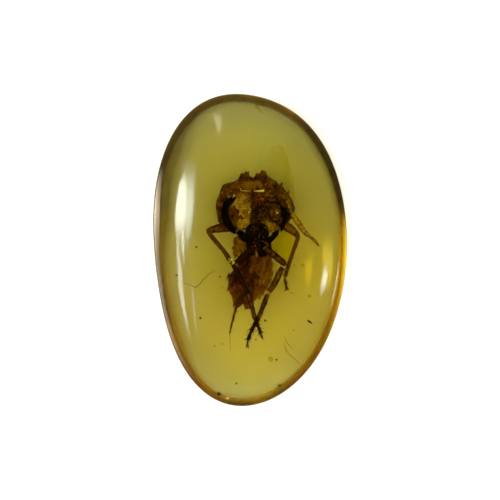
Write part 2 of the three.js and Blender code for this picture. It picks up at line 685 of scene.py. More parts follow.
def make_domes(golden, brown, olive, shell):
    """The two swollen eyes, the panel and the ridge between them, and the right cheek."""
    left = ((0.1, 5.2), (-0.3, 5.45), (-0.9, 5.45), (-1.4, 5.1), (-1.75, 4.6), (-2.0, 4.0),
            (-1.95, 3.3), (-1.72, 2.7), (-1.3, 2.15), (-0.8, 1.92), (-0.3, 2.1), (0.05, 2.5),
            (0.12, 3.2), (0.15, 4.2))
    sealed_lump("left_dome", golden, left, 4.2, 5.9, crumple=0.2, crumple_size=0.22,
                round_steps=112, rise_steps=40, rim_shade=-0.04)

    bm = bmesh.new()
    stain = ((-1.95, 3.9), (-1.5, 4.3), (-1.1, 3.95), (-0.8, 3.5), (-0.5, 3.2), (-0.6, 2.9),
             (-1.1, 2.85), (-1.5, 2.5), (-1.8, 2.7), (-1.95, 3.2))
    lump(bm, stain, 5.25, 6.05, crumple=0.14, crumple_size=0.3, rim_shade=0.1)
    limb(bm, ((-1.95, 3.05, 5.6, 0.08), (-1.5, 2.95, 5.85, 0.24), (-0.9, 3.1, 6.03, 0.1)))
    seal(bm, "left_dome_stain", brown)

    right = ((3.15, 3.6), (3.1, 4.2), (2.85, 4.55), (2.5, 4.7), (2.1, 4.62), (1.75, 4.3),
             (1.62, 3.8), (1.65, 3.3), (1.9, 2.9), (2.4, 2.7), (2.9, 2.95))
    sealed_lump("right_dome", olive, right, 4.2, 5.75, crumple=0.16, crumple_size=0.25,
                round_steps=80, rise_steps=28, tone=-0.12)

    cheek = ((0.9, 2.6), (1.1, 3.3), (1.3, 3.0), (1.8, 2.75), (2.4, 2.6), (2.8, 2.3),
             (2.85, 1.85), (2.4, 1.65), (2.0, 1.6), (1.7, 1.85), (1.25, 2.2))
    sealed_lump("right_cheek", olive, cheek, 4.5, 5.55, crumple=0.2, crumple_size=0.2,
                round_steps=96, rise_steps=28, rim_shade=-0.02, tone=0.01)

    mid = ((0.5, 5.3), (1.2, 5.4), (1.7, 5.2), (1.75, 4.6), (1.65, 3.6), (1.2, 3.0),
           (0.6, 2.9), (0.45, 4.0))
    sealed_lump("middle_panel", shell, mid, 4.4, 5.5, crumple=0.16, crumple_size=0.2,
                round_steps=80, rise_steps=24, rim_shade=0, tone=-0.04)

    bm = bmesh.new()
    limb(bm, ((0.3, 5.5, 5.3, 0.14), (0.33, 4.6, 5.6, 0.3), (0.38, 3.8, 5.66, 0.36),
              (0.42, 3.0, 5.66, 0.44), (0.42, 2.5, 5.6, 0.62), (0.45, 2.1, 5.4, 0.9)),
         side_shade=0.04, tone=-0.03)
    limb(bm, ((1.6, 5.15, 5.3, 0.05), (1.5, 4.4, 5.5, 0.2), (1.6, 3.7, 5.5, 0.24),
              (1.4, 3.0, 5.5, 0.08)), tone=-0.05)
    limb(bm, ((0.95, 3.9, 5.4, 0.1), (1.1, 4.2, 5.55, 0.34), (1.35, 4.25, 5.5, 0.1)), tone=-0.1)
    seal(bm, "middle_ridge", brown)


def make_crescents(black):
    """The black bands round the outer sides of the two eyes."""
    bm = bmesh.new()
    left = ((-1.25, 5.0, 5.4, 0.08), (-1.55, 4.93, 5.5, 0.34), (-2.02, 4.66, 5.5, 0.5),
            (-2.36, 4.1, 5.5, 0.6), (-2.43, 3.5, 5.45, 0.66), (-2.26, 2.78, 5.4, 0.68),
            (-1.9, 2.15, 5.4, 0.58), (-1.5, 1.72, 5.4, 0.36), (-1.35, 1.58, 5.4, 0.08))
    right = ((1.45, 4.85, 5.4, 0.06), (1.7, 4.62, 5.5, 0.14), (1.95, 4.5, 5.5, 0.12),
             (2.35, 4.56, 5.5, 0.16), (2.75, 4.42, 5.5, 0.18), (2.95, 4.1, 5.5, 0.24),
             (3.22, 3.9, 5.5, 0.42), (3.4, 3.66, 5.45, 0.34), (3.28, 3.3, 5.45, 0.46),
             (3.34, 2.9, 5.4, 0.46), (3.16, 2.4, 5.4, 0.4), (3.02, 2.0, 5.4, 0.32),
             (2.93, 1.76, 5.4, 0.1))
    limb(bm, left, sides=16, rings_per_mm=1.3, ring_depth=0.05)
    limb(bm, right, sides=16, rings_per_mm=2.3, ring_depth=0.1)
    limb(bm, ((3.3, 3.5, 5.45, 0.2), (3.65, 3.45, 5.4, 0.16), (3.72, 3.3, 5.4, 0.04)))
    seal(bm, "black_crescents", black)


def make_face(dark, black):
    """The dark jaws and throat, and the black bases of the front legs."""
    bm = bmesh.new()
    outline = ((-0.45, 1.9), (0.1, 2.3), (0.8, 2.4), (1.5, 2.2), (1.85, 1.7), (1.8, 1.2),
               (2.0, 0.7), (2.1, 0.2), (1.75, -0.35), (1.2, -0.6), (0.85, -0.45),
               (0.3, -0.1), (-0.3, 0.0), (-0.35, 0.5), (-0.15, 0.9), (-0.4, 1.4))
    lump(bm, outline, 4.3, 5.75, middle=(0.85, 1.0), crumple=0.2, crumple_size=0.2,
         round_steps=96, rise_steps=32)
    arch = ((-0.25, 2.0, 5.6, 0.2), (0.1, 2.35, 5.8, 0.26), (0.55, 2.5, 5.9, 0.28),
            (1.05, 2.45, 5.9, 0.26), (1.5, 2.3, 5.8, 0.24), (1.7, 2.0, 5.65, 0.12))
    limb(bm, arch)
    seal(bm, "face", dark)

    bm = bmesh.new()
    limbs(
        bm,
        ((-1.25, 1.75, 5.2, 0.15), (-1.0, 1.6, 5.35, 0.6), (-0.5, 1.2, 5.5, 0.8),
         (0.05, 0.75, 5.5, 0.5)),
        ((2.78, 1.98, 5.1, 0.1), (2.6, 1.72, 5.3, 0.4), (2.25, 1.32, 5.4, 0.52),
         (1.8, 0.85, 5.4, 0.5)),
        sides=16,
    )
    seal(bm, "leg_bases", black)

    throat = ((0.6, 0.4), (1.4, 0.5), (1.9, 0.2), (1.75, -0.35), (1.35, -0.65), (1.0, -0.7),
              (0.75, -0.4))
    sealed_lump("throat", dark, throat, 5.0, 5.75, crumple=0.2, crumple_size=0.2)


def make_mouth(rust, pale, draw):
    """The rows of beads on the jaws, and the pale mouth parts round them."""
    bm = bmesh.new()
    for row in range(6):
        for x in (0.42, 0.88, 1.24):
            place = (x + draw.uniform(-0.06, 0.06), 1.86 - draw.uniform(0.2, 0.28) * row, 5.9)
            bead(bm, place, draw.uniform(0.06, 0.12), tone=draw.uniform(-0.1, 0.07))
    for x, y, size in ((0.5, 0.4, 0.2), (0.92, 0.45, 0.18), (0.1, 1.95, 0.12), (1.68, 0.3, 0.14),
                       (0.7, 0.1, 0.16), (0.2, 0.35, 0.14)):
        bead(bm, (x, y, 5.9), size, tone=-0.05)
    seal(bm, "face_beads", rust)

    bm = bmesh.new()
    limb(bm, ((1.4, 0.8, 5.7, 0.1), (1.6, 0.6, 5.8, 0.2), (1.75, 0.4, 5.7, 0.1)), tone=-0.15)
    limb(bm, ((0.58, 0.0, 5.6, 0.08), (0.62, -0.25, 5.75, 0.2), (0.64, -0.5, 5.7, 0.18),
              (0.62, -0.68, 5.6, 0.06)), tone=-0.03)
    # A thin pale line along the top edge of the arch: a painted highlight.
    limb(bm, ((1.1, 2.52, 5.9, 0.03), (1.45, 2.4, 5.9, 0.06), (1.75, 2.1, 5.8, 0.03)), tone=0.1)
    limbs(bm, ((-1.3, 1.95, 5.4, 0.05), (-0.9, 2.0, 5.45, 0.09), (-0.6, 1.9, 5.5, 0.04)),
          ((-1.35, 1.5, 5.3, 0.04), (-1.2, 1.85, 5.35, 0.12), (-1.15, 1.5, 5.4, 0.04)))
    seal(bm, "mouth_parts", pale)


def make_leg(name, material, draw, segments, hairs=(), tone=-0.03):
    """A jointed leg: segments are lists of stations, and hairs are rows of bristles."""
    bm = bmesh.new()
    # The legs' flanks get strong painted shade, and their tops a painted light stripe.
    limbs(bm, *segments, rings_per_mm=1.9, ring_depth=0.04, steps=10, sides=16,
          side_shade=0.3, tone=tone)
    for start, end, count, length in hairs:
        bristles(bm, start, end, count, length, draw)
    seal(bm, name, material)


def make_middle_legs(leg, red_leg, draw):
    """The two middle legs, held out sideways and bent back."""
    make_leg(
        "left_middle_thigh", red_leg, draw,
        (((-1.9, 2.2, 4.65, 0.8), (-2.5, 2.2, 4.65, 0.84), (-3.1, 2.1, 4.65, 0.7)),),
    )
    make_leg(
        "right_middle_thigh", leg, draw,
        (((3.2, 2.45, 4.66, 0.76), (3.6, 2.2, 4.66, 0.82), (4.1, 1.85, 4.65, 0.7),
          (4.45, 1.45, 4.62, 0.4)),),
        tone=0.06,
    )
    make_leg(
        "left_middle_leg", leg, draw,
        (
            ((-2.0, 2.15, 4.6, 0.8), (-2.7, 2.1, 4.6, 0.86), (-3.4, 2.0, 4.6, 0.72),
             (-3.95, 1.85, 4.6, 0.5), (-4.14, 1.75, 4.6, 0.2)),
            ((-4.08, 1.75, 4.55, 0.3), (-3.75, 1.4, 4.5, 0.42), (-3.2, 0.75, 4.4, 0.42),
             (-2.6, 0.05, 4.4, 0.4), (-2.1, -0.7, 4.4, 0.46), (-1.68, -1.3, 4.5, 0.44)),
        ),
        (((-3.9, 1.5, 4.5), (-1.8, -1.1, 4.4), 16, 0.42),),
    )
    make_leg(
        "right_middle_leg", leg, draw,
        (
            ((3.1, 2.45, 4.6, 0.8), (3.7, 2.1, 4.6, 0.85), (4.2, 1.75, 4.6, 0.7),
             (4.55, 1.35, 4.6, 0.48), (4.6, 1.2, 4.6, 0.25)),
            ((4.58, 1.3, 4.55, 0.42), (4.45, 0.8, 4.5, 0.4), (3.95, -0.65, 4.3, 0.36),
             (3.5, -2.0, 4.2, 0.38), (3.33, -2.62, 4.2, 0.38)),
            ((3.32, -2.68, 4.2, 0.2), (3.36, -2.95, 4.2, 0.26), (3.44, -3.25, 4.2, 0.34)),
            ((3.42, -3.2, 4.2, 0.18), (3.48, -3.5, 4.2, 0.24), (3.55, -3.75, 4.2, 0.3)),
            ((3.52, -3.7, 4.2, 0.12), (3.38, -3.86, 4.2, 0.1), (3.24, -3.86, 4.2, 0.02)),
            ((3.52, -3.7, 4.2, 0.12), (3.64, -3.84, 4.2, 0.1), (3.74, -3.72, 4.2, 0.02)),
        ),
        (((4.4, 0.6, 4.5), (3.4, -2.5, 4.2), 12, 0.36),
         ((3.4, -2.8, 4.2), (3.5, -3.8, 4.2), 6, 0.36)),
    )


def make_left_front_leg(brown_leg, dark_leg, draw):
    """The left front leg, which lies over the abdomen."""
    make_leg(
        "left_front_thigh", dark_leg, draw,
        (
            ((0.4, 0.2, 5.4, 0.7), (-0.3, -0.3, 5.4, 0.6), (-1.0, -0.85, 5.4, 0.42),
             (-1.62, -1.35, 5.4, 0.3)),
            ((0.3, -0.15, 5.1, 0.6), (-0.4, -0.75, 5.15, 0.46), (-1.2, -1.6, 5.1, 0.2)),
            ((-1.62, -1.35, 5.4, 0.42), (-1.25, -2.1, 5.4, 0.5), (-0.62, -3.25, 5.4, 0.48),
             (-0.2, -4.2, 5.4, 0.46)),
        ),
        (((-1.4, -1.8, 5.4), (-0.3, -4.0, 5.4), 10, 0.45),),
    )
    make_leg(
        "left_front_leg", brown_leg, draw,
        (
            ((-0.24, -4.1, 5.4, 0.44), (0.1, -5.1, 5.4, 0.42), (0.33, -6.0, 5.4, 0.42),
             (0.45, -6.5, 5.4, 0.5)),
            ((1.0, -7.85, 5.4, 0.18), (1.1, -8.2, 5.4, 0.2), (1.14, -8.4, 5.4, 0.24)),
            ((1.1, -8.35, 5.4, 0.1), (1.24, -8.48, 5.4, 0.08), (1.22, -8.6, 5.4, 0.02)),
        ),
        (((-0.2, -4.3, 5.4), (0.3, -5.9, 5.4), 6, 0.42),),
    )


def make_right_front_leg(brown_leg, draw):
    """The right front leg, which crosses under the left one."""
    make_leg(
        "right_front_leg", brown_leg, draw,
        (
            ((1.3, 0.2, 5.4, 0.7), (2.0, -0.25, 5.4, 0.66), (2.8, -0.9, 5.4, 0.62),
             (3.2, -1.25, 5.4, 0.55), (3.38, -1.5, 5.4, 0.3)),
            ((3.1, -1.65, 5.2, 0.5), (2.72, -2.4, 5.15, 0.6), (2.35, -3.2, 5.1, 0.56),
             (1.85, -3.95, 5.1, 0.46)),
            ((1.66, -4.25, 5.1, 0.42), (1.4, -5.0, 5.1, 0.5), (1.05, -5.9, 5.1, 0.44),
             (0.8, -6.5, 5.1, 0.46), (0.62, -6.9, 5.1, 0.36)),
            ((-0.15, -8.5, 5.1, 0.16), (-0.22, -8.85, 5.1, 0.2), (-0.25, -9.2, 5.1, 0.26)),
            ((-0.24, -9.1, 5.1, 0.1), (-0.14, -9.35, 5.1, 0.1), (-0.2, -9.45, 5.1, 0.02)),
            ((-0.24, -9.1, 5.1, 0.1), (-0.36, -9.3, 5.1, 0.1), (-0.3, -9.42, 5.1, 0.02)),
        ),
        (((3.0, -1.9, 5.2), (1.95, -3.8, 5.1), 10, 0.45),
         ((1.6, -4.5, 5.1), (0.7, -6.7, 5.1), 14, 0.45)),
    )


def make_feet(dark_leg, pale, draw):
    """The bristly feet of the front legs, and the pale skins of all the legs' joints."""
    make_leg(
        "front_feet", dark_leg, draw,
        (
            ((0.4, -6.35, 5.4, 0.4), (0.58, -6.8, 5.4, 0.34), (0.78, -7.3, 5.4, 0.46)),
            ((0.74, -7.2, 5.4, 0.26), (0.9, -7.6, 5.4, 0.3), (1.04, -7.95, 5.4, 0.42)),
            ((0.6, -6.8, 5.1, 0.36), (0.34, -7.25, 5.1, 0.3), (0.14, -7.75, 5.1, 0.44)),
            ((0.18, -7.6, 5.1, 0.26), (-0.02, -8.1, 5.1, 0.28), (-0.16, -8.6, 5.1, 0.42)),
        ),
        (((0.45, -6.5, 5.4), (1.0, -7.9, 5.4), 16, 0.55),
         ((0.5, -7.0, 5.1), (-0.15, -8.5, 5.1), 18, 0.55)),
        tone=-0.07,
    )

    bm = bmesh.new()
    limbs(bm, ((2.8, -1.5, 5.5, 0.04), (3.05, -1.58, 5.52, 0.09), (3.3, -1.72, 5.5, 0.04)),
          ((1.5, -4.0, 5.35, 0.04), (1.7, -4.08, 5.38, 0.12), (1.95, -4.2, 5.35, 0.04)),
          tone=0.2)
    limbs(bm, ((1.88, -3.98, 5.1, 0.42), (1.78, -4.1, 5.1, 0.3), (1.66, -4.24, 5.1, 0.42)),
          ((-2.1, -0.95, 4.75, 0.1), (-1.9, -0.8, 4.8, 0.14), (-1.6, -0.95, 4.8, 0.1)),
          ((-1.35, -1.75, 5.3, 0.1), (-1.2, -1.62, 5.3, 0.14), (-1.12, -1.4, 5.3, 0.08)))
    seal(bm, "joint_skins", pale)


def make_feelers(olive, leg, thread, draw):
    """The right feeler, and the spine and the threads behind the body."""
    bm = bmesh.new()
    # The feeler's flanks get painted shade as well.
    limb(bm, ((3.3, 5.1, 4.7, 0.1), (3.6, 4.5, 4.8, 0.3), (4.0, 3.55, 4.75, 0.46),
              (4.53, 2.69, 4.7, 0.54), (5.16, 1.82, 4.6, 0.5), (5.62, 1.36, 4.6, 0.38)),
         rings_per_mm=2.2, ring_depth=0.1, steps=16, side_shade=0.2)
    limb(bm, ((5.55, 1.4, 4.6, 0.24), (6.09, 0.96, 4.6, 0.3), (6.36, 0.68, 4.6, 0.26),
              (6.62, 0.34, 4.6, 0.1)), rings_per_mm=3, ring_depth=0.1, steps=8, tone=-0.06)
    seal(bm, "feeler", olive)

    bm = bmesh.new()
    limb(bm, ((-0.3, -3.7, 5.0, 0.2), (-0.55, -4.05, 4.95, 0.4), (-0.85, -4.45, 4.9, 0.36),
              (-1.12, -4.95, 4.9, 0.32), (-1.38, -5.7, 4.8, 0.26), (-1.62, -6.6, 4.8, 0.22),
              (-1.82, -7.4, 4.7, 0.17), (-1.92, -8.0, 4.6, 0.13)), steps=10)
    bristles(bm, (-1.2, -5.6, 4.8), (-1.9, -7.8, 4.7), 6, 0.2, draw)
    seal(bm, "tail_spine", leg)

    bm = bmesh.new()
    limbs(bm, ((-1.94, -7.9, 4.6, 0.05), (-1.9, -8.7, 4.6, 0.04), (-1.86, -9.6, 4.6, 0.03)),
          ((3.7, -4.0, 4.2, 0.04), (4.0, -4.1, 4.2, 0.05), (4.3, -4.35, 4.2, 0.03)), sides=6)
    seal(bm, "tail_thread", thread)


ABDOMEN_MIDDLE = (0.2, -2.4)
ABDOMEN_OUTLINE = (
    (2.1, -1.05), (2.05, -2.2), (1.85, -3.1), (1.5, -3.9), (1.1, -4.4), (0.8, -4.5),
    (0.4, -4.9), (0.15, -5.5), (-0.2, -5.7), (-0.5, -5.6), (-0.72, -5.1), (-1.05, -5.6),
    (-1.45, -5.2), (-1.85, -4.2), (-2.0, -3.0), (-1.85, -2.2), (-1.35, -1.7), (-1.2, -1.0),
    (-0.6, 0.2), (0.8, 0.4), (2.0, 0.3),
)
ABDOMEN_FADE = 0.05  # how much lighter it gets with each millimetre towards +X
FRINGE_ENDS = (-172, 28)  # the angles round the abdomen that its fringe runs between
FRINGE_SCALES = 110
BACK_SCALES = 90
SHOULDER_ROWS = 6
SHOULDER_SCALES = 5  # in each row


def make_abdomen(rust):
    """The flattened abdomen and its left shoulder."""
    bm = bmesh.new()
    lump(bm, ABDOMEN_OUTLINE, 2.8, 4.3, middle=ABDOMEN_MIDDLE, round_steps=160, rise_steps=56,
         crumple=0.14, crumple_size=0.16, rim_shade=0.09, tone=-0.06)
    shoulder = ((-1.5, 1.25), (-1.65, 0.8), (-1.5, 0.4), (-1.55, 0.0), (-1.2, -0.7),
                (-0.4, -0.1), (-0.1, 0.7), (-0.5, 1.2), (-1.0, 1.35))
    lump(bm, shoulder, 3.3, 4.8, crumple=0.2, crumple_size=0.2, round_steps=80, rise_steps=28,
         tone=0.12)
    lighten_rightwards(bm, ABDOMEN_FADE)
    seal(bm, "abdomen", rust)


def fringe_scales(bm, reach, draw):
    """Narrow scales that hang over the abdomen's edge and fan out towards its tail."""
    start, end = FRINGE_ENDS
    for step in range(FRINGE_SCALES):
        angle = math.radians(start + (end - start) * step / (FRINGE_SCALES - 1))
        far = reach(angle) + draw.uniform(-0.25, 0.02)
        root = (
            ABDOMEN_MIDDLE[0] + far * math.cos(angle) - 0.02,
            ABDOMEN_MIDDLE[1] + far * math.sin(angle) + 0.55,
            3.6 + draw.uniform(0, 0.2),
        )
        fan = math.radians(8 * (root[0] - 0.2) + draw.uniform(-14, 14))
        leaf(bm, root, fan, draw.uniform(0.5, 0.95), draw.uniform(0.14, 0.28), 0.02,
             draw.uniform(-0.02, 0.06))


def back_scales(bm, reach, draw):
    """Broad scales that lie all over the abdomen's back."""
    for _ in range(BACK_SCALES):
        angle = draw.uniform(0, math.tau)
        out = draw.uniform(0.1, 0.85)
        x = ABDOMEN_MIDDLE[0] + reach(angle) * out * math.cos(angle)
        y = ABDOMEN_MIDDLE[1] + reach(angle) * out * math.sin(angle) + 0.4
        root = (x, y, 4.3 - 0.5 * out**3)
        fan = math.radians(8 * (x - 0.2) + draw.uniform(-20, 20))
        leaf(bm, root, fan, draw.uniform(0.6, 1.2), draw.uniform(0.2, 0.45), 0.04,
             draw.uniform(-0.15, 0) + 0.08 * out**2, 0.1)


def shoulder_scales(bm, draw):
    """Rows of pale scales on the left shoulder."""
    for step in range(SHOULDER_ROWS * SHOULDER_SCALES):
        row, place = divmod(step, SHOULDER_SCALES)
        x = -1.5 + 1.15 * place / (SHOULDER_SCALES - 1) + draw.uniform(-0.1, 0.1)
        y = 1.25 - 1.5 * row / (SHOULDER_ROWS - 1) + draw.uniform(-0.1, 0.1)
        leaf(bm, (x, y, 4.6 + draw.uniform(0, 0.2)), math.radians(draw.uniform(-35, 30)),
             draw.uniform(0.35, 0.65), draw.uniform(0.2, 0.36), 0.03,
             draw.uniform(0.07, 0.17), 0.08)


def make_scales(rust, draw):
    """All the flaky scales of the abdomen."""
    bm = bmesh.new()
    reach = reach_of(ABDOMEN_OUTLINE, ABDOMEN_MIDDLE)
    fringe_scales(bm, reach, draw)
    back_scales(bm, reach, draw)
    shoulder_scales(bm, draw)
    lighten_rightwards(bm, ABDOMEN_FADE)
    seal(bm, "abdomen_scales", rust)


def make_ridges(brown):
    """The crumpled ridges that run down the abdomen."""
    bm = bmesh.new()
    limbs(
        bm,
        ((-0.75, -4.4, 4.85, 0.2), (-0.55, -4.05, 4.9, 0.34), (-0.25, -4.15, 4.9, 0.3)),
        ((1.0, -0.6, 4.4, 0.1), (0.6, -1.5, 4.5, 0.16), (0.2, -2.4, 4.5, 0.16),
         (-0.15, -3.3, 4.5, 0.08)),
        ((-0.5, -0.8, 4.6, 0.12), (-0.9, -1.5, 4.6, 0.2), (-1.2, -2.3, 4.5, 0.1)),
        ((0.1, -0.8, 4.6, 0.06), (-0.1, -1.5, 4.6, 0.1), (-0.2, -2.3, 4.5, 0.06)),
        ((0.6, -2.6, 4.5, 0.04), (1.0, -1.9, 4.5, 0.1), (1.2, -1.1, 4.5, 0.05)),
        ((0.3, -4.2, 4.3, 0.04), (0.5, -3.5, 4.45, 0.1), (0.9, -2.8, 4.5, 0.05)),
    )
    seal(bm, "abdomen_ridges", brown)


def make_films(wing_skin, web_skin):
    """The clear wing over the head end and the film between the right legs."""
    wing = ((0.3, 7.6), (0.9, 8.9), (1.8, 9.8), (2.7, 10.15), (3.2, 9.95), (3.6, 8.9),
            (4.05, 7.3), (4.28, 5.6), (4.25, 4.4), (3.4, 5.0), (2.4, 6.0), (1.0, 6.8))
    sealed_lump("wing", wing_skin, wing, 3.75, 3.83, "membrane", round_steps=72, rise_steps=4)

    web = ((1.9, 0.3), (2.6, 1.5), (3.4, 1.9), (4.4, 1.2), (4.2, 0.0), (3.7, -1.5),
           (3.3, -1.2), (2.4, -0.5))
    sealed_lump("leg_web", web_skin, web, 4.0, 4.06, "membrane", round_steps=48, rise_steps=4)


def make_glints(glint_paint, gold_glint_paint, ember, pale):
    """Painted glints where cracks and bubbles flash, and the ember-red spot with its pearls."""
    bm = bmesh.new()
    # A painted gold glint along the bright line across the front of the shell.
    limbs(bm, ((-0.9, 5.68, 5.75, 0.02), (-0.5, 5.64, 5.8, 0.04), (0.1, 5.62, 5.82, 0.02)),
          ((0.35, 5.62, 5.82, 0.03), (0.8, 5.63, 5.82, 0.13), (1.35, 5.67, 5.82, 0.21)), sides=8)
    for x, y, depth, size in (
        (-1.74, -0.9, 5.3, 0.24), (-1.58, -1.2, 5.7, 0.24), (-1.92, -1.1, 4.9, 0.14),
        (-2.02, -0.86, 4.9, 0.1), (-1.84, -0.66, 4.9, 0.08),
        (4.15, 2.6, 5.1, 0.13), (-0.05, 3.65, 6.0, 0.16), (0.05, 3.85, 5.95, 0.1),
        (-0.12, 3.48, 6.0, 0.09), (3.95, 2.85, 5.1, 0.08), (3.3, -0.45, 5.0, 0.06),
        (-2.2, 6.1, 5.0, 0.06), (-2.5, 5.85, 5.1, 0.06), (1.9, 2.35, 5.6, 0.08),
        (2.2, 2.05, 5.6, 0.07), (-0.35, 2.9, 5.95, 0.08), (-0.75, 2.4, 5.85, 0.07),
        (-1.0, 4.6, 5.98, 0.07), (-0.6, 4.2, 6.02, 0.06),
    ):
        bead(bm, (x, y, depth), size, squash=0.4)
    seal(bm, "gold_glints", gold_glint_paint)

    bm = bmesh.new()
    for x, y, depth, size in (
        (-1.5, 5.2, 5.75, 0.14), (-1.6, 5.05, 5.75, 0.08), (-0.9, 5.82, 5.75, 0.09),
        (2.6, 3.55, 5.98, 0.13), (2.5, 3.75, 5.98, 0.07), (2.1, 5.15, 5.5, 0.08),
        (-1.7, -1.0, 5.3, 0.1), (-1.56, -1.2, 5.62, 0.1), (7.35, 4.75, 4.6, 0.07),
        (1.9, 5.6, 5.45, 0.06), (2.35, 5.3, 5.45, 0.05), (1.5, 6.2, 5.4, 0.06),
    ):
        bead(bm, (x, y, depth), size, squash=0.4)
    seal(bm, "air_glints", glint_paint)

    bm = bmesh.new()
    limb(bm, ((0.85, 4.75, 5.62, 0.06), (0.98, 4.9, 5.66, 0.13), (1.18, 4.9, 5.66, 0.14),
              (1.32, 4.78, 5.62, 0.05)))
    bead(bm, (1.1, 4.72, 5.6), 0.14)
    seal(bm, "ember_spot", ember)

    bm = bmesh.new()
    for x, y, size in ((0.82, 4.62, 0.07), (0.98, 4.5, 0.1), (1.22, 4.45, 0.07),
                       (1.1, 4.3, 0.08), (0.88, 4.32, 0.06), (1.3, 4.62, 0.06)):
        bead(bm, (x, y, 5.62), size)
    seal(bm, "ember_pearls", pale)


def ragged(x, y, size, corners, draw):
    """A rough round outline of a few corners."""
    turns = [math.tau * corner / corners for corner in range(corners)]
    reaches = [size * draw.uniform(0.4, 0.7) for _ in turns]
    return [(x + r * math.cos(t), y + r * math.sin(t)) for r, t in zip(reaches, turns)]


def make_flecks(debris, stain, thread, draw):
    """Specks, faint stains and loose hairs scattered through the resin."""
    bm = bmesh.new()
    for x, y, size in (
        (-5.15, 0.3, 0.2), (-2.85, -2.55, 0.17), (-4.75, -6.5, 0.24), (1.45, -6.74, 0.24),
        (0.55, -8.55, 0.14), (2.55, -10.5, 0.2), (2.9, -13.0, 0.3), (2.65, -12.9, 0.14),
        (-3.0, -13.8, 0.34), (-3.3, -13.75, 0.14), (-1.3, -12.8, 0.2), (-2.65, -9.0, 0.12),
        (-3.4, -9.2, 0.13), (-2.0, -9.3, 0.08), (4.95, 5.05, 0.1), (-2.05, -0.6, 0.1),
        (-7.0, -2.4, 0.2),
    ):
        outline = ragged(x, y, size, 7, draw)
        depth = draw.uniform(2.8, 4.2)
        lump(bm, outline, depth, depth + size * 0.7, round_steps=14, rise_steps=8)
    limb(bm, ((5.45, -6.7, 4, 0.06), (5.7, -6.86, 4, 0.17), (5.98, -7.05, 4, 0.06)))
    seal(bm, "debris_flecks", debris)

    bm = bmesh.new()
    for x, y, size, depth in (
        (-2.7, -3.6, 0.2, 3.4), (5.05, -1.45, 0.36, 3.2), (4.2, -1.45, 0.22, 3.2),
        (5.7, -4.4, 0.3, 3.0), (4.2, -7.7, 0.2, 3.4), (1.95, -10.45, 0.55, 3.2),
        (0.7, 14.0, 0.25, 3.9), (0.62, 13.6, 0.14, 3.9),
    ):
        outline = ragged(x, y, size, 9, draw)
        lump(bm, outline, depth, depth + 0.06, round_steps=27, rise_steps=6)
    limbs(
        bm,
        ((0.6, 14.55, 4, 0.2), (0.72, 14.1, 4, 0.3), (0.62, 13.7, 4, 0.25), (0.5, 13.5, 4, 0.05)),
        ((0.75, 13.9, 4, 0.1), (0.85, 13.5, 4, 0.16), (1.15, 13.05, 4, 0.04)),
        sides=8,
    )
    seal(bm, "faint_stains", stain)

    bm = bmesh.new()
    limbs(
        bm,
        ((-3.3, -1.9, 4, 0.03), (-3.9, -2.3, 4, 0.06), (-4.4, -2.75, 4, 0.07),
         (-4.75, -3.2, 4, 0.07), (-5.2, -3.55, 4, 0.07), (-5.8, -3.3, 4, 0.05),
         (-6.4, -3.2, 4, 0.03)),
        ((3.35, -8.25, 4, 0.03), (3.45, -8.7, 4, 0.05), (3.75, -9.1, 4, 0.05),
         (4.1, -9.45, 4, 0.03)),
        ((3.3, -8.8, 4, 0.03), (3.35, -9.3, 4, 0.05), (3.6, -9.8, 4, 0.05),
         (4.3, -10.45, 4, 0.05), (5.05, -11.25, 4, 0.03)),
        sides=6,
    )
    seal(bm, "loose_hairs", thread)


SEED = 11


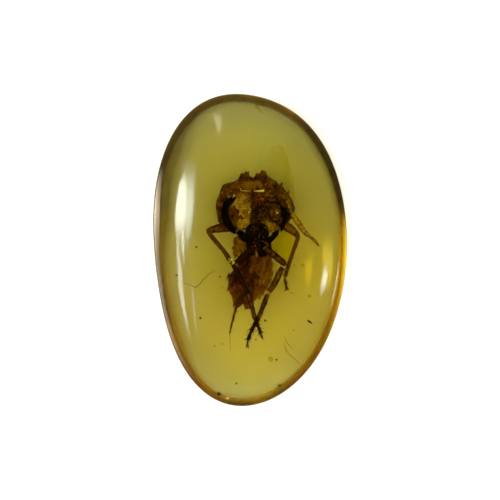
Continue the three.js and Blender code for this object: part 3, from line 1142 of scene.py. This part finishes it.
def make_insect():
    """Every sealed piece, from its materials to its shapes."""
    draw = random.Random(SEED)
    shell = cuticle("mottled_shell", ((0.38, DARK), (0.44, UMBER), (0.5, RUST), (0.55, BROWN),
                                      (0.61, TAN), (0.68, GOLD)), scale=1.5, veins=-0.05)
    panel = cuticle("smooth_panel", ((0.4, UMBER), (0.46, BROWN), (0.54, TAN)), scale=0.8)
    golden = cuticle("golden_dome", ((0.34, UMBER), (0.41, BROWN), (0.47, TAN), (0.56, GOLD),
                                     (0.74, STRAW)), scale=1.2, veins=0.04, gloss=0.12)
    brown = cuticle("brown_ridge", ((0.4, DARK), (0.48, UMBER), (0.55, RUST), (0.62, BROWN),
                                    (0.7, TAN)), scale=1.4, veins=0.05)
    olive = cuticle("olive_dome", ((0.36, UMBER), (0.44, BROWN), (0.51, TAN), (0.6, GOLD)),
                    scale=1.2, veins=0.04)
    dark = cuticle("dark_cuticle", ((0.42, BLACK), (0.52, DARK), (0.62, MAROON)), scale=2)
    black = cuticle("black_cuticle", ((0.5, BLACK), (0.62, DARK)), scale=2, gloss=0.0)
    leg = cuticle("leg_cuticle", ((0.38, DARK), (0.48, UMBER), (0.6, BROWN), (0.7, TAN)),
                  scale=3, stretch=(1.4, 0.6, 1))
    red_leg = cuticle("red_leg_cuticle", ((0.38, DARK), (0.5, MAROON), (0.66, RUST)), scale=1.6)
    brown_leg = cuticle("brown_leg_cuticle", ((0.36, BLACK), (0.45, DARK), (0.53, UMBER),
                                              (0.61, BROWN), (0.69, TAN)),
                        scale=3, stretch=(1.4, 0.6, 1))
    dark_leg = cuticle("dark_leg_cuticle", ((0.36, BLACK), (0.46, DARK), (0.57, MAROON)), scale=2)
    rust = cuticle("rusty_scales", ((0.37, MAROON), (0.45, RUST), (0.53, COPPER), (0.6, TAN),
                                    (0.68, GOLD)), scale=1.2, stretch=(1.2, 0.8, 1))
    feeler = cuticle("olive_feeler", ((0.36, UMBER), (0.43, OLIVE), (0.5, TAN), (0.58, GOLD)),
                     scale=2.5, gloss=0.0)
    pale = cuticle("pale_skin", ((0.4, BROWN), (0.5, TAN), (0.6, GOLD), (0.7, STRAW)), scale=2)
    ember = cuticle("ember", ((0.42, (0.25, 0.02, 0.002)), (0.56, (0.6, 0.12, 0.02))), scale=2.5)
    thread = cuticle("fine_thread", ((0.4, UMBER), (0.6, BROWN)))
    debris = cuticle("plant_debris", ((0.4, DARK), (0.6, UMBER)), scale=3)
    # Bright colours painted as glints where air in cracks and bubbles throws the light back.
    glint_paint = painted_glint_film("air_glint_paint", (1, 0.9, 0.3))
    gold_glint_paint = painted_glint_film("gold_glint_paint", (1, 0.8, 0.08))
    wing_skin = film("wing_skin", (1, 1, 1), (0.86, 0.84, 0.42), (0.6, 3.4))
    web_skin = film("web_skin", (1, 0.97, 0.1), (1, 0.95, 0.02), (2, 3))
    stain = film("stain_skin", (0.95, 0.88, 0.6), (0.82, 0.68, 0.3), (-8, 6))
    make_shield(shell)
    make_front_panel(shell, panel)
    make_domes(golden, brown, olive, shell)
    make_crescents(black)
    make_face(dark, black)
    make_mouth(rust, pale, draw)
    make_middle_legs(leg, red_leg, draw)
    make_left_front_leg(brown_leg, dark_leg, draw)
    make_right_front_leg(brown_leg, draw)
    make_feet(dark_leg, pale, draw)
    make_feelers(feeler, leg, thread, draw)
    make_abdomen(rust)
    make_scales(rust, draw)
    make_ridges(brown)
    make_films(wing_skin, web_skin)
    make_glints(glint_paint, gold_glint_paint, ember, pale)
    make_flecks(debris, stain, thread, draw)


# ------------------------------------------------------------------- floor, light, camera

PANE_FAR = 900  # how far off the window panes stand
SOFTBOX_MIDDLE = (0, -650, 1200)
SOFTBOX_HALF = 1500
SOFTBOX_STRENGTH = 2.6
FLOOR_HALF = 1500
FLOOR_DROP = 0.1  # keeps the floor clear of the stone's flat
CAMERA_HEIGHT = 503
SENSOR_WIDTH = 36
VIEW_WIDTH = 48  # what the camera sees across at the stone's widest level


def make_floor():
    """Pale paper just under the stone, which the polish doesn't mirror."""
    bm = bmesh.new()
    bmesh.ops.create_grid(bm, x_segments=1, y_segments=1, size=FLOOR_HALF)
    bmesh.ops.translate(bm, verts=bm.verts, vec=(0, 0, -FLOOR_DROP))
    material, tree, shader = principled("floor_paper")
    feed(tree, shader, {"Base Color": (0.9, 0.9, 0.9, 1), "Roughness": 0.9})
    floor = link("floor", mesh_from(bm, "floor", material))
    floor.visible_glossy = False


def mirrored(x, y):
    """The far point whose reflection shows on the dome at (x, y), seen from above."""
    height, normal = dome_facing(x, y)
    return Vector((x, y, height)) + (normal * 2 * normal.z - Vector((0, 0, 1))) * PANE_FAR


def level_rungs(*rungs):
    """Rungs for a pane that shows across the dome, from (y, x, x, glow)."""
    return [((left, y), (right, y), glow) for y, left, right, glow in rungs]


def edge_rungs(*rungs):
    """Rungs for a pane that shows along the edge, from (angle, share, share, glow)."""
    made = []
    for degrees, inner, outer, glow in rungs:
        angle = math.radians(degrees)
        ends = [
            drawn_out(math.cos(angle) * share, math.sin(angle) * share)
            for share in (inner, outer)
        ]
        made.append((*ends, glow))
    return made


def lit_surface(name, bm, color, strength=None):
    """A surface that gives light and that the camera doesn't see.

    Where no strength is given, it is the surface's own "glow" values.
    """
    material, tree, shader = principled(name)
    if strength is None:
        strength = attribute(tree, "glow")
    feed(tree, shader, {
        "Base Color": (0, 0, 0, 1), "Emission Color": (*color, 1), "Emission Strength": strength,
    })
    surface = link(name, mesh_from(bm, name, material))
    surface.visible_camera = False
    return surface


def make_pane(name, rungs, color, strength):
    """A window pane that shows on the dome as a strip through rungs of (end, end, glow)."""
    bm = bmesh.new()
    glow = bm.verts.layers.float.new("glow")
    ladder = []
    for first, second, brightness in rungs:
        pair = [bm.verts.new(mirrored(*end)) for end in (first, second)]
        for v in pair:
            v[glow] = brightness * strength
        ladder.append(bm.edges.new(pair))
    for lower, upper in zip(ladder, ladder[1:]):
        bmesh.ops.bridge_loops(bm, edges=[lower, upper])
    lit_surface(name, bm, color)


def make_softbox():
    """A broad soft light overhead, which the polish doesn't mirror."""
    bm = bmesh.new()
    bmesh.ops.create_grid(bm, x_segments=1, y_segments=1, size=SOFTBOX_HALF)
    bmesh.ops.translate(bm, verts=bm.verts, vec=SOFTBOX_MIDDLE)
    softbox = lit_surface("softbox", bm, (1, 1, 1), SOFTBOX_STRENGTH)
    softbox.visible_glossy = False
    softbox.data.materials[0].cycles.emission_sampling = "NONE"


def make_sky():
    """The room round the stone: dim low down, pale half way up, dark overhead.

    It is brighter on the window's side, towards +Y and -X.
    """
    world = bpy.data.worlds.new("studio")
    bpy.context.scene.world = world
    world.use_nodes = True
    tree = world.node_tree
    direction = new_node(tree, "TexCoord", {}).outputs["Generated"]
    axes = new_node(tree, "SeparateXYZ", {"Vector": direction}).outputs
    levels = (
        (0.02, (0.16, 0.135, 0.04)),
        (0.3, (0.3, 0.26, 0.09)),
        (0.75, (0.25, 0.24, 0.11)),
        (0.93, (0.02, 0.018, 0.005)),
    )
    window_side = sums(tree, "SUBTRACT", axes["Y"], axes["X"])
    feed(tree, tree.nodes["Background"], {
        "Color": ramp(tree, axes["Z"], levels),
        "Strength": map_range(tree, window_side, (-1.2, 1.2), (0.3, 1.7)),
    })


DAYLIGHT = (0.95, 1, 0.95)
COOL_LIGHT = (0.84, 0.97, 0.95)
CREAM_LIGHT = (1, 0.9, 0.66)
YELLOW_LIGHT = (1, 0.75, 0.12)
AMBER_LIGHT = (1, 0.6, 0.02)
ORANGE_LIGHT = (1, 0.4, 0)
LAMPLIGHT = (1, 0.82, 0.58)
SPARK_LIGHT = (1, 0.6, 0.25)


def make_left_panes():
    """The window that shows as a long highlight down the left, and its smaller panes."""
    make_pane("pane_outer", level_rungs(
        (8, -6.25, -6.15, 0), (7.2, -6.5, -6.15, 0.4), (6.4, -6.8, -6.15, 0.9),
        (4.4, -7.1, -6.18, 1), (2.9, -7.22, -6.26, 0.9), (2.1, -7.15, -6.4, 0.6),
        (1.4, -7.04, -6.77, 0.45), (0.2, -7.06, -6.87, 0.55), (-1.1, -7, -6.68, 0.45),
        (-2, -6.96, -6.5, 0.45), (-3.8, -6.84, -6.45, 0.5), (-5.4, -6.54, -6.28, 0.6),
        (-6.6, -6.28, -6.06, 0.4), (-7.6, -6.05, -5.88, 0.25), (-9, -5.65, -5.55, 0),
    ), DAYLIGHT, 19)
    make_pane("pane_inner", level_rungs(
        (9, -6.6, -5, 0), (8.2, -6.6, -5.1, 0.07), (7.4, -6.15, -5.25, 0.16),
        (6.6, -6.15, -5.34, 0.35), (5.6, -6.14, -5.4, 0.6), (4.4, -6.16, -5.45, 0.66),
        (2.9, -6.24, -5.62, 0.6), (1.7, -6.24, -5.75, 0.45), (0.4, -6.25, -6.1, 0),
    ), COOL_LIGHT, 19)
    make_pane("pane_streak", level_rungs(
        (2, -6.55, -6.33, 0.5), (1.5, -6.6, -6.36, 0.9), (0.2, -6.55, -6.35, 0.8),
        (-0.8, -6.45, -6.3, 0.4), (-1.6, -6.4, -6.3, 0),
    ), DAYLIGHT, 19)
    make_pane("pane_far", level_rungs(
        (-3, -5.65, -5.52, 0), (-4.5, -5.55, -5.4, 0.3), (-6.5, -5.37, -5.24, 0.3),
        (-8.8, -5.1, -5, 0),
    ), DAYLIGHT, 19)
    make_pane("pane_top", level_rungs(
        (13.2, -3.6, -2.75, 0.05), (12.6, -3.4, -2.75, 0.3), (11.8, -3.2, -2.8, 0.3),
        (11, -3.1, -2.9, 0),
    ), CREAM_LIGHT, 18)


def make_right_panes():
    """The panes that show as a highlight at the right and the amber glow round it."""
    make_pane("pane_right", level_rungs(
        (0.6, 7.5, 7.75, 0), (-0.4, 7.35, 7.75, 0.3), (-1.4, 7.15, 7.68, 0.65),
        (-2.4, 7.02, 7.6, 0.95), (-3.4, 6.8, 7.3, 0.7), (-4.2, 6.75, 7, 0.15),
        (-4.8, 6.75, 6.85, 0),
    ), DAYLIGHT, 17)
    make_pane("pane_amber", level_rungs(
        (1.4, 7.2, 7.9, 0), (0.2, 7, 7.95, 0.6), (-1.2, 6.95, 7.92, 1),
        (-2.6, 7.4, 7.85, 0.8), (-4, 7.3, 7.6, 0),
    ), YELLOW_LIGHT, 6)
    make_pane("pane_glow", level_rungs(
        (-0.4, 5.6, 6, 0), (-1.2, 5.4, 5.95, 0.8), (-2.6, 5.35, 5.85, 1), (-4, 5.45, 5.7, 0),
    ), AMBER_LIGHT, 6)


def make_edge_panes():
    """The lights that show as thin lines along the stone's edge."""
    make_pane("edge_right", edge_rungs(
        (-2, 0.925, 0.93, 0), (-10, 0.915, 0.93, 0.8), (-19, 0.915, 0.93, 0.6),
        (-27, 0.92, 0.93, 0),
    ), CREAM_LIGHT, 10)
    make_pane("edge_amber", edge_rungs(
        (15, 0.965, 0.985, 0), (7, 0.955, 0.995, 0.6), (-2, 0.955, 0.995, 1),
        (-12, 0.96, 0.995, 0.8), (-26, 0.965, 0.995, 0.35), (-42, 0.975, 0.99, 0),
    ), AMBER_LIGHT, 4.5)
    make_pane("edge_orange", edge_rungs(
        (12, 0.94, 0.955, 0), (4, 0.925, 0.96, 0.7), (-4, 0.925, 0.96, 1),
        (-24, 0.94, 0.97, 1), (-40, 0.96, 0.975, 0),
    ), ORANGE_LIGHT, 1.6)
    make_pane("edge_left", edge_rungs(
        (149, 0.96, 0.985, 0), (157, 0.945, 0.99, 0.4), (165, 0.935, 0.99, 0.7),
        (171, 0.935, 0.99, 0.5), (182, 0.95, 0.99, 0.25), (205, 0.96, 0.99, 0.2),
        (225, 0.965, 0.985, 0.12), (240, 0.97, 0.98, 0),
    ), LAMPLIGHT, 8)
    make_pane("edge_spark", edge_rungs(
        (255.2, 0.957, 0.965, 0), (256.5, 0.953, 0.97, 1), (257.6, 0.957, 0.965, 0),
    ), SPARK_LIGHT, 12)


def make_camera():
    """The camera, straight above the stone."""
    data = bpy.data.cameras.new("camera")
    data.sensor_width = SENSOR_WIDTH
    data.lens = SENSOR_WIDTH * (CAMERA_HEIGHT - EDGE_HEIGHT) / VIEW_WIDTH
    data.clip_start = 0.01
    data.clip_end = 10
    camera = link("camera", data)
    camera.location = (0, 0, CAMERA_HEIGHT * MM)
    bpy.context.scene.camera = camera


make_stone()
make_insect()
make_floor()
make_sky()
make_softbox()
make_left_panes()
make_right_panes()
make_edge_panes()
make_camera()
bpy.context.scene.view_settings.view_transform = "Standard"
